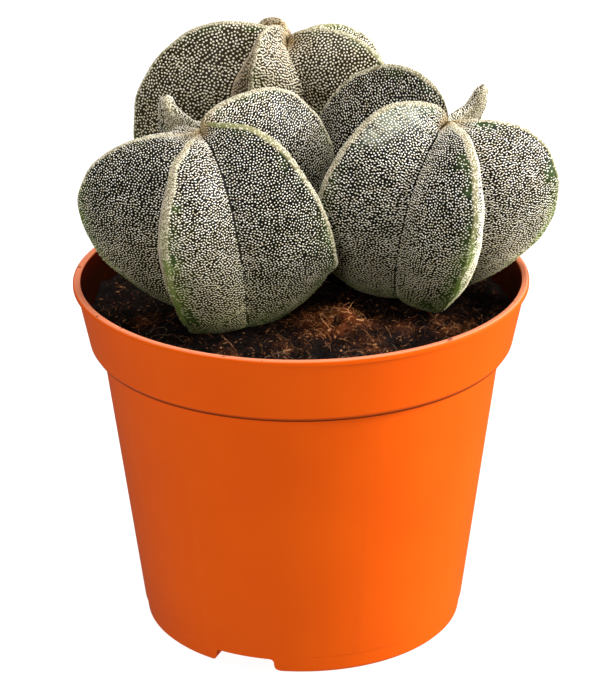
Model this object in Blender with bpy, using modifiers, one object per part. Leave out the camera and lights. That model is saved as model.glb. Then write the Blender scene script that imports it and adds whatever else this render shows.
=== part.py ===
"""Bishop's cap cacti in a plastic nursery pot.

Three five-ribbed plants stand in one pot of peat. The pot is 120 mm across its lip.
The origin is the centre of the pot's underside, +Z is up, and -Y is the front.
"""

import math
from collections import namedtuple

import bmesh
import bpy
from mathutils import Vector, noise

MM = 0.001
CLEARANCE = 0.3 * MM  # the gap that touching pieces keep

# The pot's driving sizes.
LIP_RADIUS = 60.0 * MM
POT_HEIGHT = 96.0 * MM
WALL = 1.1 * MM
FLOOR_THICKNESS = 1.2 * MM
LIP_HEIGHT = 1.4 * MM
LIP_OVERHANG = 2.1 * MM
COLLAR_HEIGHT = 18.2 * MM
COLLAR_FOOT_RADIUS = 54.8 * MM
COLLAR_EDGE = 0.7 * MM  # the bevel round the collar's lower edge
LEDGE_HEIGHT = 1.8 * MM  # the slope inside, where the collar meets the body
BODY_TOP_RADIUS = 52.9 * MM
BASE_RADIUS = 42.6 * MM
BASE_EDGE = 0.8 * MM  # the bevel round the base
FOOT_BAND_HEIGHT = 5.2 * MM
FOOT_BAND_RADIUS = 43.5 * MM
FOOT_BAND_STEP = 0.25 * MM
MOULD_SLOPE = 0.3 * MM  # how far a moulded step leans, so that the pot leaves its mould
POT_SIDES = 60

# Three drain channels cross the base, each ending in a gap in the foot.
CHANNEL_COUNT = 3
CHANNEL_TURN = -21.0  # degrees from the front to the first channel, to the left
CHANNEL_WIDTH = 15.6 * MM
CHANNEL_HEIGHT = 4.0 * MM
CHANNEL_START = 15.0 * MM  # the flat middle of the base keeps this radius
DRAIN_RADIUS = 3.5 * MM
DRAIN_PLACES = (22.0 * MM, 33.0 * MM)  # each channel's holes, from the axis
DRAIN_SIDES = 12
PAST = 1.0 * MM  # how far a cutter runs past the face that it cuts

# The peat.
SOIL_LEVEL = 88.0 * MM  # the bed that the plants stand on
SOIL_EDGE_DROP = 2.6 * MM  # how far it falls towards the wall
SOIL_EDGE_START = 0.6  # where that fall begins, as a share of the radius
SOIL_RINGS = 7
LUMP_HEIGHT = 2.6 * MM
LUMP_SIZE = 11.0 * MM
LUMP_FADE = 6.0 * MM  # the lumps grow to full height over this distance from a bed
MOUND_PLACE = (8.0 * MM, -27.0 * MM)  # the loose heap in front, between two plants
MOUND_RADIUS = 9.0 * MM
MOUND_HEIGHT = 4.5 * MM
BED_RADIUS = 24.0 * MM  # round each root the peat is level, out to this radius
HOLE_GAP = 0.5 * MM  # round a root in its hole
HOLE_RISE = 8.0 * MM  # how far a hole's cutter stands over the bed
HOLE_SIDES = 16

# What all three plants share.
FLANK_STEPS = 6  # faces from a furrow to the crest
CREST_STEPS = 24  # faces along a crest, from the crown to the foot
UNDER_STEPS = 5  # faces from the foot under the plant and down the root
NECK_STEPS = 2  # those of them that run in under the plant to the neck
SHOULDER_SHARE = 0.14  # where along a crest its shoulder lies
WIDEST_SHARE = 0.54  # and its widest point
CREST_HALF_WIDTH = 0.9 * MM  # the blunt edge that a crest ends in
EDGE_PLACE = 0.955  # where that edge begins, as a share of the flank
FLANK_BULGE = 0.09  # how far a flank swells, as a share of its width
FURROW_FOOT_SHARE = 0.72
FURROW_SHOULDER = 3.0 * MM
FURROW_DIP = 1.5 * MM
SWELL_UNIT = 3.14  # makes the swelling's highest point FLANK_BULGE of the width
BLUNT_START = 0.6  # from here to the crest a flank keeps the blunt edge's half width
NARROW_WIDTH = 6.0 * MM  # a flank narrower than this has a finer crest
FLECK_HEIGHT = 0.4 * MM  # the woolly flecks, drawn coarse as alternate raised points
NECK_RADIUS = 7.0 * MM
ROOT_LENGTH = 26.0 * MM
ROOT_TIP_RADIUS = 2.5 * MM
ROOT_POINT = 1.0 * MM
UNDERSIDE_LIFT = 1.0 * MM
FLANK_CROWDING = 0.85  # under 1, it spreads a flank's points towards its crest
HORN_SUNK = 7.0 * MM
HORN_SIDES = 10
HORN_RINGS = 8
HORN_FULLNESS = 0.4  # below its tip a horn's rings narrower than this share keep their taper

# One rib. turn: degrees from the front to the right. rise and drop: heights over and
# under the crown of its shoulder and its widest point. shoulder, reach and foot: how
# far out from the axis its shoulder, its widest point and its foot lie. All in mm.
# sweep: how far it winds round the plant, in degrees. tuck: 2 for a round lower edge,
# less for a straighter one. valley: the furrow to its right, as a share of the reach.
Rib = namedtuple("Rib", "turn rise shoulder reach drop foot sweep tuck valley")

# A horn is a stunted rib's finger. out is how far it stands from the crown, lean how far
# its tip lies outward of its root, and web how far its foot spreads towards the crown.
Horn = namedtuple("Horn", "turn out height radius lean web")

PLANTS = {
    "cactus_left": {
        "crown": (-25.5, -13.5, 140.0),
        "root": (-19.5, -10.0),
        "colour": (0.055, 0.085, 0.045),
        "ribs": (
            Rib(-90, -2.0, 7.5, 34.0, 23.5, 8.0, -5, 1.5, 0.54),
            Rib(-20, -1.0, 4.5, 27.0, 24.0, 15.5, -9, 1.7, 0.62),
            Rib(61, 3.0, 11.0, 32.0, 32.5, 15.0, 25, 1.3, 0.52),
            Rib(122, 7.5, 18.0, 37.0, 14.0, 16.0, -4, 2.0, 0.56),
            Rib(-161, 1.0, 10.0, 26.0, 20.0, 14.0, 0, 2.0, 0.58),
        ),
        "horn": Horn(-145, 15.0, 5.5, 2.6, 1.0, 5.0),
    },
    "cactus_right": {
        "crown": (37.5, 0.0, 137.0),
        "root": (29.5, 7.5),
        "colour": (0.055, 0.09, 0.045),
        "ribs": (
            Rib(-63, 7.5, 13.5, 34.0, 21.0, 10.5, -3, 1.5, 0.66),
            Rib(19, 0.5, 7.5, 33.0, 25.5, 18.0, -4, 1.9, 0.52),
            Rib(82, 0.5, 12.0, 33.5, 23.0, 10.5, 6, 1.65, 0.56),
            Rib(159, 1.0, 9.0, 24.0, 20.0, 14.0, 0, 2.0, 0.50),
            Rib(-122, 12.0, 13.5, 38.5, 18.0, 15.0, 6, 2.0, 0.50),
        ),
        "horn": Horn(140, 12.5, 6.5, 2.3, 2.5, 6.0),
    },
    "cactus_back": {
        "crown": (-3.0, 35.5, 147.0),
        "root": (-7.0, 37.5),
        "colour": (0.06, 0.08, 0.05),
        "ribs": (
            Rib(-94, 5.0, 14.0, 40.5, 23.5, 15.0, -1, 1.9, 0.52),
            Rib(-29, 8.0, 11.5, 20.0, 6.0, 12.0, 2, 2.0, 0.50),
            Rib(72, 4.5, 10.5, 33.5, 22.0, 14.0, 1, 2.0, 0.54),
            Rib(131, 2.0, 10.0, 31.0, 19.0, 12.0, -2, 1.6, 0.58),
            Rib(-150, 4.5, 6.5, 26.5, 16.5, 9.5, 2, 1.6, 0.56),
        ),
        "horn": None,
    },
}


def clear_scene():
    for old in list(bpy.data.objects):
        bpy.data.objects.remove(old)


def new_collection(name):
    made = bpy.data.collections.new(name)
    bpy.context.scene.collection.children.link(made)
    return made


def new_material(name, colour, roughness):
    made = bpy.data.materials.new(name)
    made.use_nodes = True
    shader = made.node_tree.nodes["Principled BSDF"]
    shader.inputs["Base Color"].default_value = (*colour, 1.0)
    shader.inputs["Roughness"].default_value = roughness
    shader.inputs["Metallic"].default_value = 0.0
    return made


def new_object(name, mesh, collection):
    made = bpy.data.objects.new(name, mesh)
    collection.objects.link(made)
    return made


def as_cutter(obj):
    obj.hide_render = True
    obj.display_type = "WIRE"
    return obj


def add_boolean(obj, operation, other):
    cut = obj.modifiers.new(f"{operation.lower()} {other.name}", "BOOLEAN")
    cut.operation = operation
    cut.solver = "EXACT"
    cut.object = other
    return cut


def turned(name, profile, sides, collection):
    """A solid of revolution about Z. The profile runs down its outer side, from axis to axis."""
    mesh = bpy.data.meshes.new(name)
    points = [(radius, 0.0, height) for radius, height in profile]
    mesh.from_pydata(points, [(i, i + 1) for i in range(len(points) - 1)], [])
    made = new_object(name, mesh, collection)
    screw = made.modifiers.new("turn", "SCREW")
    screw.steps = screw.render_steps = sides
    screw.use_merge_vertices = True
    screw.merge_threshold = 0.00001
    screw.use_smooth_shade = True
    return made


def applied(obj):
    """The object with its modifiers made real, so that its points can be moved."""
    graph = bpy.context.evaluated_depsgraph_get()
    mesh = bpy.data.meshes.new_from_object(obj.evaluated_get(graph))
    obj.modifiers.clear()
    obj.data = mesh
    return obj


def box(name, low, high, turn, collection):
    """A block between two corners, turned about Z. turn 0 has its +X side at the front."""
    mesh = bpy.data.meshes.new(name)
    shape = bmesh.new()
    bmesh.ops.create_cube(shape, size=1.0)
    low, high = Vector(low), Vector(high)
    for point in shape.verts:
        point.co = (low + high) / 2 + point.co * (high - low)
    shape.to_mesh(mesh)
    shape.free()
    made = new_object(name, mesh, collection)
    made.rotation_euler.z = math.radians(turn) - math.pi / 2
    return made


def cone(name, place, radii, heights, sides, collection):
    """An upright cone or cylinder. radii and heights are those of its top and its bottom."""
    mesh = bpy.data.meshes.new(name)
    shape = bmesh.new()
    bmesh.ops.create_cone(
        shape,
        cap_ends=True,
        segments=sides,
        radius1=radii[1],
        radius2=radii[0],
        depth=heights[0] - heights[1],
    )
    shape.to_mesh(mesh)
    shape.free()
    made = new_object(name, mesh, collection)
    made.location = (place[0], place[1], (heights[0] + heights[1]) / 2)
    return made


def outer_profile():
    lip_foot = POT_HEIGHT - LIP_HEIGHT
    collar_foot = POT_HEIGHT - COLLAR_HEIGHT
    return [
        (0.0, POT_HEIGHT),
        (LIP_RADIUS, POT_HEIGHT),
        (LIP_RADIUS, lip_foot),
        (LIP_RADIUS - LIP_OVERHANG, lip_foot - MOULD_SLOPE),
        (COLLAR_FOOT_RADIUS, collar_foot + COLLAR_EDGE),
        (COLLAR_FOOT_RADIUS - COLLAR_EDGE, collar_foot),
        (BODY_TOP_RADIUS, collar_foot - MOULD_SLOPE),
        (FOOT_BAND_RADIUS, FOOT_BAND_HEIGHT),
        (FOOT_BAND_RADIUS - FOOT_BAND_STEP, FOOT_BAND_HEIGHT - MOULD_SLOPE),
        (BASE_RADIUS, BASE_EDGE),
        (BASE_RADIUS - BASE_EDGE, 0.0),
        (0.0, 0.0),
    ]


def wall_radius(height):
    """The pot's inner radius at a height: a cone for the body and a wider one for the collar."""
    shoulder = POT_HEIGHT - COLLAR_HEIGHT
    if height > shoulder:
        top = LIP_RADIUS - LIP_OVERHANG - WALL
        foot = COLLAR_FOOT_RADIUS - WALL
        share = (height - shoulder) / COLLAR_HEIGHT
    else:
        top = BODY_TOP_RADIUS - WALL
        foot = BASE_RADIUS - WALL
        share = height / shoulder
    return foot + (top - foot) * share


def cavity_profile(shrink, top):
    """The inside of the pot, taken in by shrink, up to the height top."""
    floor = FLOOR_THICKNESS + shrink
    ledge_top = POT_HEIGHT - COLLAR_HEIGHT + FLOOR_THICKNESS + shrink
    ledge_foot = ledge_top - LEDGE_HEIGHT
    return [
        (0.0, top),
        (wall_radius(top) - shrink, top),
        (wall_radius(ledge_top) - shrink, ledge_top),
        (wall_radius(ledge_foot) - shrink - WALL, ledge_foot),
        (wall_radius(floor) - shrink, floor),
        (0.0, floor),
    ]


def channel_turns():
    return [CHANNEL_TURN + 360.0 * i / CHANNEL_COUNT for i in range(CHANNEL_COUNT)]


def cut_channels(obj, grow, collection):
    """Takes each drain channel's block, grown all round, out of obj."""
    for i, turn in enumerate(channel_turns()):
        half = CHANNEL_WIDTH / 2 + grow
        block = box(
            f"{obj.name}_channel_{i}",
            (CHANNEL_START - grow, -half, -PAST),
            (LIP_RADIUS, half, CHANNEL_HEIGHT + grow),
            turn,
            collection,
        )
        add_boolean(obj, "DIFFERENCE", as_cutter(block))


def make_pot(collection, cutters):
    pot = turned("pot", outer_profile(), POT_SIDES, collection)
    cavity = turned("cavity", cavity_profile(0.0, POT_HEIGHT + PAST), POT_SIDES, cutters)
    cut_channels(cavity, FLOOR_THICKNESS, cutters)
    add_boolean(pot, "DIFFERENCE", as_cutter(cavity))
    cut_channels(pot, 0.0, cutters)
    bottom = CHANNEL_HEIGHT - PAST
    top = CHANNEL_HEIGHT + FLOOR_THICKNESS + PAST
    for i, turn in enumerate(channel_turns()):
        angle = math.radians(turn)
        for k, out in enumerate(DRAIN_PLACES):
            place = (out * math.sin(angle), -out * math.cos(angle))
            radii = (DRAIN_RADIUS, DRAIN_RADIUS)
            drill = cone(f"drain_{i}_{k}", place, radii, (top, bottom), DRAIN_SIDES, cutters)
            add_boolean(pot, "DIFFERENCE", as_cutter(drill))
    pot.data.materials.append(new_material("orange plastic", (0.80, 0.16, 0.015), 0.38))
    return pot


def soil_height(x, y):
    """The peat's surface: level beds for the plants, lumps between them and a heap in front."""
    radius = math.hypot(x, y)
    edge = wall_radius(SOIL_LEVEL)
    slope = max(0.0, radius / edge - SOIL_EDGE_START) / (1 - SOIL_EDGE_START)
    height = SOIL_LEVEL - SOIL_EDGE_DROP * slope
    free = 1.0
    for plant in PLANTS.values():
        gap = math.hypot(x - plant["root"][0] * MM, y - plant["root"][1] * MM) - BED_RADIUS
        free = min(free, max(0.0, min(1.0, gap / LUMP_FADE)))
    lump = noise.noise(Vector((x, y, 0.0)) / LUMP_SIZE)
    mound = math.hypot(x - MOUND_PLACE[0], y - MOUND_PLACE[1]) / MOUND_RADIUS
    height += LUMP_HEIGHT * lump * free
    return height + MOUND_HEIGHT * math.exp(-mound * mound) * free


def make_soil(collection, cutters):
    """Peat that fills the pot, with a tapered hole for each root."""
    profile = cavity_profile(CLEARANCE, SOIL_LEVEL)
    edge = profile[1][0]
    rings = [(edge * i / SOIL_RINGS, SOIL_LEVEL) for i in range(SOIL_RINGS)]
    soil = applied(turned("soil", rings + profile[1:], POT_SIDES, collection))
    for point in soil.data.vertices:
        if point.co.z > SOIL_LEVEL - 0.01 * MM:
            point.co.z = soil_height(point.co.x, point.co.y)
            radius = math.hypot(point.co.x, point.co.y)
            limit = wall_radius(point.co.z) - CLEARANCE
            if radius > limit:
                point.co.x *= limit / radius
                point.co.y *= limit / radius
    cut_channels(soil, FLOOR_THICKNESS + CLEARANCE, cutters)
    slope = (NECK_RADIUS - ROOT_TIP_RADIUS) / ROOT_LENGTH
    radii = (NECK_RADIUS + HOLE_GAP + slope * HOLE_RISE, ROOT_TIP_RADIUS + HOLE_GAP)
    heights = (SOIL_LEVEL + HOLE_RISE, SOIL_LEVEL - ROOT_LENGTH - CLEARANCE)
    for name, plant in PLANTS.items():
        place = [size * MM for size in plant["root"]]
        hole = cone(f"{name}_hole", place, radii, heights, HOLE_SIDES, cutters)
        add_boolean(soil, "DIFFERENCE", as_cutter(hole))
    soil.data.materials.append(new_material("peat", (0.045, 0.022, 0.012), 0.95))
    return soil


def arch(share, rise, shoulder, reach, drop, foot, tuck, height):
    """(distance from the axis, height over the crown) along a crest or a furrow.

    It is three quarters of ellipses: up to the shoulder, out to the widest point, and
    back in to the foot."""
    if share < SHOULDER_SHARE:
        angle = share / SHOULDER_SHARE * math.pi / 2
        return shoulder * (1 - math.cos(angle)), rise * math.sin(angle)
    if share < WIDEST_SHARE:
        angle = (share - SHOULDER_SHARE) / (WIDEST_SHARE - SHOULDER_SHARE) * math.pi / 2
        out = shoulder + (reach - shoulder) * math.sin(angle)
        return out, -drop + (rise + drop) * math.cos(angle)
    angle = (share - WIDEST_SHARE) / (1 - WIDEST_SHARE) * math.pi / 2
    out = foot + (reach - foot) * max(0.0, math.cos(angle)) ** (2 / tuck)
    return out, -drop - (height - drop) * math.sin(angle) ** (2 / tuck)


class Plant:
    """The shape of one plant as a formula: a point for any place round it and along it."""

    def __init__(self, plant):
        self.crown = Vector(plant["crown"]) * MM
        self.root = Vector((*plant["root"], 0.0)) * MM
        self.root.z = SOIL_LEVEL
        self.ribs = plant["ribs"]
        self.foot_level = SOIL_LEVEL + CLEARANCE + FLECK_HEIGHT
        self.height = self.crown.z - self.foot_level

    def axis(self, z):
        share = (self.crown.z - z) / (self.crown.z - self.root.z)
        return self.crown.lerp(self.root, max(0.0, min(1.0, share)))

    def along(self, share, turn, rise, shoulder, reach, drop, foot, tuck):
        out, up = arch(share, rise, shoulder, reach, drop, foot, tuck, self.height)
        angle = math.radians(turn)
        z = self.crown.z + up
        centre = self.axis(z)
        return Vector((centre.x + out * math.sin(angle), centre.y - out * math.cos(angle), z))

    def crest(self, index, share):
        rib = self.ribs[index % len(self.ribs)]
        sizes = [size * MM for size in rib[1:6]]
        return self.along(share, rib.turn + rib.sweep * share, *sizes, rib.tuck)

    def furrow(self, index, share):
        """The furrow between a rib and the next one to its right."""
        here = self.ribs[index % len(self.ribs)]
        after = self.ribs[(index + 1) % len(self.ribs)]
        gap = (after.turn - here.turn) % 360
        turn = here.turn + gap / 2 + (here.sweep + after.sweep) / 2 * share
        reach = (here.reach + after.reach) / 2 * here.valley * MM
        reach *= math.cos(math.radians(gap / 2)) / math.cos(math.pi / len(self.ribs))
        drop = (here.drop + after.drop) / 2 * MM
        foot = min(here.foot, after.foot) * FURROW_FOOT_SHARE * MM
        return self.along(share, turn, -FURROW_DIP, FURROW_SHOULDER, reach, drop, foot, 2.0)

    def flank(self, index, side, across, share):
        """A point of a rib's flank. side is -1 on its left and 1 on its right, and across
        runs from 0 in the furrow to 1 on the crest."""
        crest = self.crest(index, share)
        furrow = self.furrow(index if side > 0 else index - 1, share)
        chord = crest - furrow
        width = Vector((chord.x, chord.y, 0.0)).length
        if width < 1e-7:
            return crest
        out = Vector((chord.x, chord.y, 0.0)) / width
        away = Vector((-out.y, out.x, 0.0)) * side
        swell = SWELL_UNIT * across**0.6 * (1 - across) ** 1.2 * FLANK_BULGE * width
        blunt = CREST_HALF_WIDTH * min(1.0, width / NARROW_WIDTH)
        blunt *= min(1.0, across / BLUNT_START) if across < 1 else 0.0
        return furrow + chord * across + away * (swell + blunt)


def make_body(name, plant, collection):
    """A globe of faces, each point moved to its place on the ribs, the underside or the root."""
    shape = Plant(plant)
    ribs = len(plant["ribs"])
    around = ribs * 2 * FLANK_STEPS
    rings = CREST_STEPS + UNDER_STEPS + 1
    body = bmesh.new()
    bmesh.ops.create_uvsphere(body, u_segments=around, v_segments=rings, radius=1.0)
    crossings = [(step / FLANK_STEPS) ** FLANK_CROWDING for step in range(FLANK_STEPS - 1)]
    crossings += [EDGE_PLACE, 1.0]
    moved = {}
    for point in body.verts:
        ring = round(math.acos(max(-1.0, min(1.0, point.co.z))) / math.pi * rings)
        column = round(math.atan2(point.co.y, point.co.x) / math.tau * around) % around
        moved[point] = place_of(shape, ring, column, rings, crossings)
    for point, (place, raised) in moved.items():
        point.co = place
    body.normal_update()
    for point, (place, raised) in moved.items():
        if raised:
            point.co = place + point.normal * FLECK_HEIGHT
    bmesh.ops.recalc_face_normals(body, faces=body.faces)
    bmesh.ops.triangulate(body, faces=body.faces)
    mesh = bpy.data.meshes.new(name)
    body.to_mesh(mesh)
    body.free()
    return new_object(name, mesh, collection)


def place_of(shape, ring, column, rings, crossings):
    """(place, whether a fleck raises it) of one point of the globe."""
    index, step = divmod(column, 2 * FLANK_STEPS)
    side = -1 if step <= FLANK_STEPS else 1
    across = crossings[min(step, 2 * FLANK_STEPS - step)]
    share = min(1.0, ring / CREST_STEPS)
    at = shape.flank(index, side, across, share)
    if ring <= CREST_STEPS:
        raised = (ring + column) % 2 == 0 and 1 < ring < CREST_STEPS
        return at, raised
    under = (ring - CREST_STEPS) / UNDER_STEPS
    return under_point(shape, at, under, ring == rings), False


def under_point(shape, foot, under, last):
    """A point below the foot: in under the plant to the neck, then down the tapered root."""
    root = shape.root
    neck_share = NECK_STEPS / UNDER_STEPS
    if last:
        return Vector((root.x, root.y, SOIL_LEVEL - ROOT_LENGTH))
    away = Vector((foot.x - root.x, foot.y - root.y, 0.0))
    out = away.normalized()
    if under <= neck_share:
        inward = under / neck_share
        radius = away.length + (NECK_RADIUS - away.length) * inward
        lift = UNDERSIDE_LIFT * inward
        return Vector((root.x, root.y, shape.foot_level + lift)) + out * radius
    down = (under - neck_share) / (1 - neck_share)
    radius = NECK_RADIUS + (ROOT_TIP_RADIUS - NECK_RADIUS) * down
    depth = (ROOT_LENGTH - ROOT_POINT) * down
    return Vector((root.x, root.y, SOIL_LEVEL - depth)) + out * radius


def make_horn(name, plant, cutters):
    """A tapered finger with a web towards the crown, sunk well into the plant."""
    shape = Plant(plant)
    horn = plant["horn"]
    angle = math.radians(horn.turn)
    out = Vector((math.sin(angle), -math.cos(angle), 0.0))
    foot = shape.crown + out * horn.out * MM
    finger = bmesh.new()
    bmesh.ops.create_uvsphere(finger, u_segments=HORN_SIDES, v_segments=HORN_RINGS, radius=1.0)
    radius = horn.radius * MM
    top = horn.height * MM - radius
    for point in finger.verts:
        if point.co.z > 0:
            height = top + point.co.z * radius
        else:
            height = top + point.co.z * (top + HORN_SUNK)
        low = min(1.0, (top + radius - height) / (top + radius + HORN_SUNK))
        across = Vector((point.co.x, point.co.y, 0.0)) * radius * (1 + low)
        if point.co.z < 0:
            across /= max(HORN_FULLNESS, math.hypot(point.co.x, point.co.y))
        inward = max(0.0, -across.normalized().dot(out))
        lean = out * (horn.lean * (1 - low) ** 2 - horn.web * inward * low**1.5) * MM
        point.co = foot + across + lean + Vector((0.0, 0.0, height))
    mesh = bpy.data.meshes.new(f"{name}_horn")
    finger.to_mesh(mesh)
    finger.free()
    return new_object(f"{name}_horn", mesh, cutters)


def make_plant(name, plant, collection, cutters):
    body = make_body(name, plant, collection)
    if plant["horn"]:
        add_boolean(body, "UNION", as_cutter(make_horn(name, plant, cutters)))
    body.data.materials.append(new_material(f"{name} skin", plant["colour"], 0.6))
    return body


def main():
    clear_scene()
    pieces = new_collection("Potted bishop's cap")
    cutters = new_collection("Cutters")
    make_pot(pieces, cutters)
    make_soil(pieces, cutters)
    for name, plant in PLANTS.items():
        make_plant(name, plant, pieces, cutters)


main()
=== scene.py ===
import math
import random

import bmesh
import bpy
import numpy as np
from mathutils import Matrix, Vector, noise


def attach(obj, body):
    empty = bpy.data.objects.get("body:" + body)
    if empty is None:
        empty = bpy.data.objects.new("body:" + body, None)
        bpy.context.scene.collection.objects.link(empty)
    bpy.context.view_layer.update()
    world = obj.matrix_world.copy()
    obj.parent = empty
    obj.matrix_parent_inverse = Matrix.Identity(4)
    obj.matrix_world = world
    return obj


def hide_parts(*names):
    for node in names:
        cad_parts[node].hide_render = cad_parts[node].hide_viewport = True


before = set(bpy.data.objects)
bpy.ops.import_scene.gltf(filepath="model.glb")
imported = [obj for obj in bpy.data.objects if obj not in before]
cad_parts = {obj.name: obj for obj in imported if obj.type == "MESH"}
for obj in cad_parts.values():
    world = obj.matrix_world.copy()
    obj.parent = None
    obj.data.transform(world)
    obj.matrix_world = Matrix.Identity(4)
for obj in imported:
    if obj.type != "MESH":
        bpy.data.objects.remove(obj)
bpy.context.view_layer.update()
mm = 0.001


def hexColour(code):
    # sRGB hex to the linear RGBA that Blender's sockets take
    parts = [int(code[i:i + 2], 16) / 255 for i in (1, 3, 5)]
    return tuple(p / 12.92 if p <= 0.04045 else ((p + 0.055) / 1.055) ** 2.4 for p in parts) + (1.0,)


def addNode(tree, kind, sockets=None, stops=(), **settings):
    # one node with its settings, its socket values, its links and, on a ramp, its colour stops
    node = tree.nodes.new(kind)
    for name, value in settings.items():
        setattr(node, name, value)
    for name, value in (sockets or {}).items():
        if isinstance(value, bpy.types.NodeSocket):
            tree.links.new(value, node.inputs[name])
        else:
            node.inputs[name].default_value = value
    for number, (place, code) in enumerate(stops):
        points = node.color_ramp.elements
        point = points[number] if number < 2 else points.new(place)
        point.position = place
        point.color = hexColour(code)
    return node


def newMaterial(name):
    made = bpy.data.materials.new(name)
    made.use_nodes = True
    made.node_tree.nodes.clear()
    return made, made.node_tree


def closeMaterial(tree, shader):
    addNode(tree, "ShaderNodeOutputMaterial", {"Surface": shader.outputs[0]})


def vertexShare(tree, name, low, high, outLow=0.0, outHigh=1.0):
    # a vertex attribute brought from one range to another, in a material's tree or a scatter's
    if tree.type == "GEOMETRY":
        reader = addNode(tree, "GeometryNodeInputNamedAttribute", {"Name": name}, data_type="FLOAT")
        value = reader.outputs["Attribute"]
    else:
        value = addNode(tree, "ShaderNodeAttribute", attribute_name=name).outputs["Fac"]
    return addNode(tree, "ShaderNodeMapRange", {
        "Value": value,
        "From Min": low,
        "From Max": high,
        "To Min": outLow,
        "To Max": outHigh,
    }).outputs["Result"]


def cloudShare(tree, scale, low, high, outLow=0.0, outHigh=1.0, detail=3.0):
    # noise on the piece's own coordinates, with scale in waves a metre, brought from one range to another
    place = addNode(tree, "ShaderNodeTexCoord").outputs["Object"]
    cloud = addNode(tree, "ShaderNodeTexNoise", {"Vector": place, "Scale": scale, "Detail": detail})
    return addNode(tree, "ShaderNodeMapRange", {
        "Value": cloud.outputs["Fac"],
        "From Min": low,
        "From Max": high,
        "To Min": outLow,
        "To Max": outHigh,
    }).outputs["Result"]


def product(tree, *factors):
    result = factors[0]
    for factor in factors[1:]:
        result = addNode(tree, "ShaderNodeMath", {0: result, 1: factor}, operation="MULTIPLY").outputs[0]
    return result


def tint(tree, colour, layers):
    # each layer lays its colour over what is there, by its share
    for share, over in layers:
        over = over if isinstance(over, bpy.types.NodeSocket) else hexColour(over)
        # a Mix node's colour sockets are 6 and 7, and share their names with its number sockets
        mixed = addNode(tree, "ShaderNodeMix", {0: share, 6: colour, 7: over}, data_type="RGBA")
        colour = mixed.outputs[2]
    return colour


def deselect():
    if bpy.context.object and bpy.context.object.mode != "OBJECT":
        bpy.ops.object.mode_set(mode="OBJECT")
    bpy.ops.object.select_all(action="DESELECT")


def pick(obj):
    deselect()
    obj.select_set(True)
    bpy.context.view_layer.objects.active = obj


def named(name):
    made = bpy.context.object
    made.name = made.data.name = name
    return made


def applyAll(obj):
    pick(obj)
    for modifier in list(obj.modifiers):
        bpy.ops.object.modifier_apply(modifier=modifier.name)


def floatLayer(mesh, name, values):
    layer = mesh.attributes.new(name, "FLOAT", "POINT")
    layer.data.foreach_set("value", np.asarray(values, dtype=np.float32).ravel())


def vectorLayer(mesh, name, values):
    layer = mesh.attributes.new(name, "FLOAT_VECTOR", "POINT")
    layer.data.foreach_set("vector", np.asarray(values, dtype=np.float32).ravel())


def triangles(obj):
    return sum(len(face.vertices) - 2 for face in obj.data.polygons)


def report(obj):
    print(f"{obj.name}: {triangles(obj)} triangles")


view = {
    "place": (0.0, -0.780, 0.3973),
    "pitch": 67.66,  # degrees from straight down
    "yaw": 0.029,
    "roll": -0.437,
    "lens": 167.37,
}


def makeCamera():
    data = bpy.data.cameras.new("camera")
    camera = bpy.data.objects.new("camera", data)
    bpy.context.scene.collection.objects.link(camera)
    data.lens = view["lens"]
    data.sensor_width = 36.0
    data.clip_start, data.clip_end = 0.01, 20.0
    camera.location = view["place"]
    camera.rotation_euler = (math.radians(view["pitch"]), 0.0, math.radians(view["yaw"]))
    camera.rotation_euler.rotate_axis("Z", math.radians(view["roll"]))
    bpy.context.scene.camera = camera


makeCamera()
print("camera set")


pot = {
    "lipRadius": 60.0,
    "height": 96.0,
    "wall": 1.0,
    "floor": 1.2,
    "lipHeight": 1.4,
    "lipOverhang": 0.95,
    "collarHeight": 18.4,
    "collarFoot": 55.9,
    "bodyTop": 52.7,
    "bandHeight": 5.2,
    "bandRadius": 43.25,
    "bandStep": 0.25,
    "baseRadius": 42.4,
    "sides": 160,
    "channelTurn": -21.7,
    "channelWidth": 16.4,
    "channelFlare": 2.3,
    "channelFillet": 1.1,
    "channelHeight": 4.0,
    "channelStart": 15.0,
    "drainRadius": 3.5,
    "drains": (22.0, 33.0),
}


def innerRadius(height):
    # mm, the wall's inside at a height
    shoulder = pot["height"] - pot["collarHeight"]
    if height > shoulder:
        top = pot["lipRadius"] - pot["lipOverhang"] - pot["wall"]
        foot = pot["collarFoot"] - pot["wall"]
        return foot + (top - foot) * (height - shoulder) / pot["collarHeight"]
    top, foot = pot["bodyTop"] - pot["wall"], pot["baseRadius"] - pot["wall"]
    return foot + (top - foot) * height / shoulder


def roundCorner(before, corner, after, radius, steps=4):
    # the points of a fillet between two straight runs of a profile
    corner, before, after = Vector(corner), Vector(before), Vector(after)
    into, away = (before - corner).normalized(), (after - corner).normalized()
    half = into.angle(away) / 2
    room = 0.45 * min((before - corner).length, (after - corner).length)
    reach = min(radius / math.tan(half), room)
    start, end = corner + into * reach, corner + away * reach
    shares = [i / steps for i in range(steps + 1)]
    return [start.lerp(corner, t).lerp(corner.lerp(end, t), t) for t in shares]


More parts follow.
